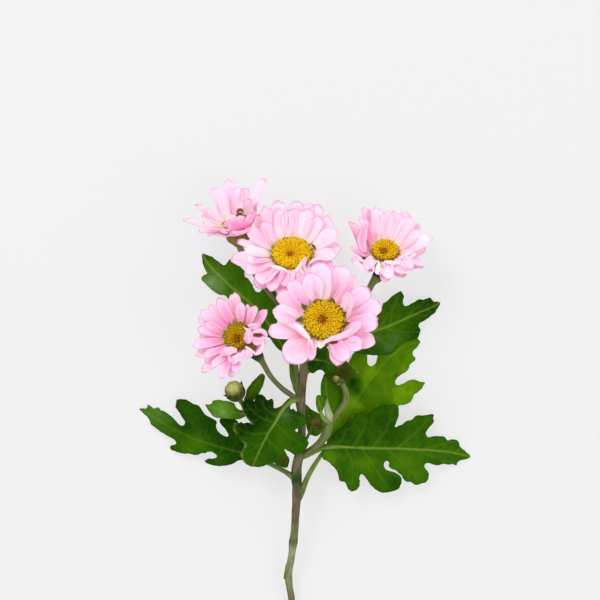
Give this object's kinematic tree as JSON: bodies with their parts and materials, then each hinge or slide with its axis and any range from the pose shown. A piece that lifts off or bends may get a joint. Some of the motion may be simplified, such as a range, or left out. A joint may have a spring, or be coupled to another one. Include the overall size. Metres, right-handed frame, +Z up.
{
  "type": "cut spray chrysanthemum with daisy-type flower heads",
  "caption": "Cut spray of a daisy-flowered chrysanthemum lying on its back: a woody stem, branching stalks, open pink flower heads with domed yellow discs, lobed leaves and closed buds.",
  "frame": {"origin": "on the surface that the spray lies on, under the middle of its bounding box", "axes": "+Z up from that surface, +Y along the lying stem from the cut end to the flower heads, +X to the right when looking down on it with the cut end nearest"},
  "size_m": [0.159, 0.2268, 0.0738],
  "materials": {
    "stem_bark": "ribbed purple-brown bark, greener near the cut",
    "green_stalk": "fine ribbed green, slightly downy",
    "disc_florets": "matte, grainy with packed florets",
    "green_bracts": "matte overlapping green scales",
    "pink_petals": "soft matte, finely grooved, darker pink at edges and foot",
    "green_bud": "matte yellow-green scales",
    "withered_bud": "matte dark brown scales",
    "green_leaf": "satin, veined, paler on the underside"
  },
  "bodies": {
    "root": {"main_stem": "stem_bark", "centre_head_stalk": "green_stalk", "right_head_stalk": "green_stalk", "left_head_stalk": "green_stalk", "rear_head_stalk": "green_stalk", "right_side_shoot": "green_stalk", "left_side_shoot": "green_stalk", "front_head_disc": "disc_florets", "front_head_bracts": "green_bracts", "front_head_inner_petals": "pink_petals", "front_head_outer_petals": "pink_petals", "centre_head_disc": "disc_florets", "centre_head_bracts": "green_bracts", "centre_head_inner_petals": "pink_petals", "centre_head_outer_petals": "pink_petals", "right_head_disc": "disc_florets", "right_head_bracts": "green_bracts", "right_head_inner_petals": "pink_petals", "right_head_outer_petals": "pink_petals", "left_head_disc": "disc_florets", "left_head_bracts": "green_bracts", "left_head_inner_petals": "pink_petals", "left_head_outer_petals": "pink_petals", "rear_head_disc": "disc_florets", "rear_head_bracts": "green_bracts", "rear_head_inner_petals": "pink_petals", "rear_head_outer_petals": "pink_petals", "left_bud": "green_bud", "right_bud": "green_bud", "brown_bud": "withered_bud", "leaf_a": "green_leaf", "leaf_b": "green_leaf", "leaf_c": "green_leaf", "leaf_d": "green_leaf", "leaf_e": "green_leaf", "leaf_f": "green_leaf", "leaf_g": "green_leaf", "leaf_h": "green_leaf", "leaf_i": "green_leaf", "leaf_j": "green_leaf", "leaf_k": "green_leaf", "leaf_m": "green_leaf"}
  },
  "joints": []
}
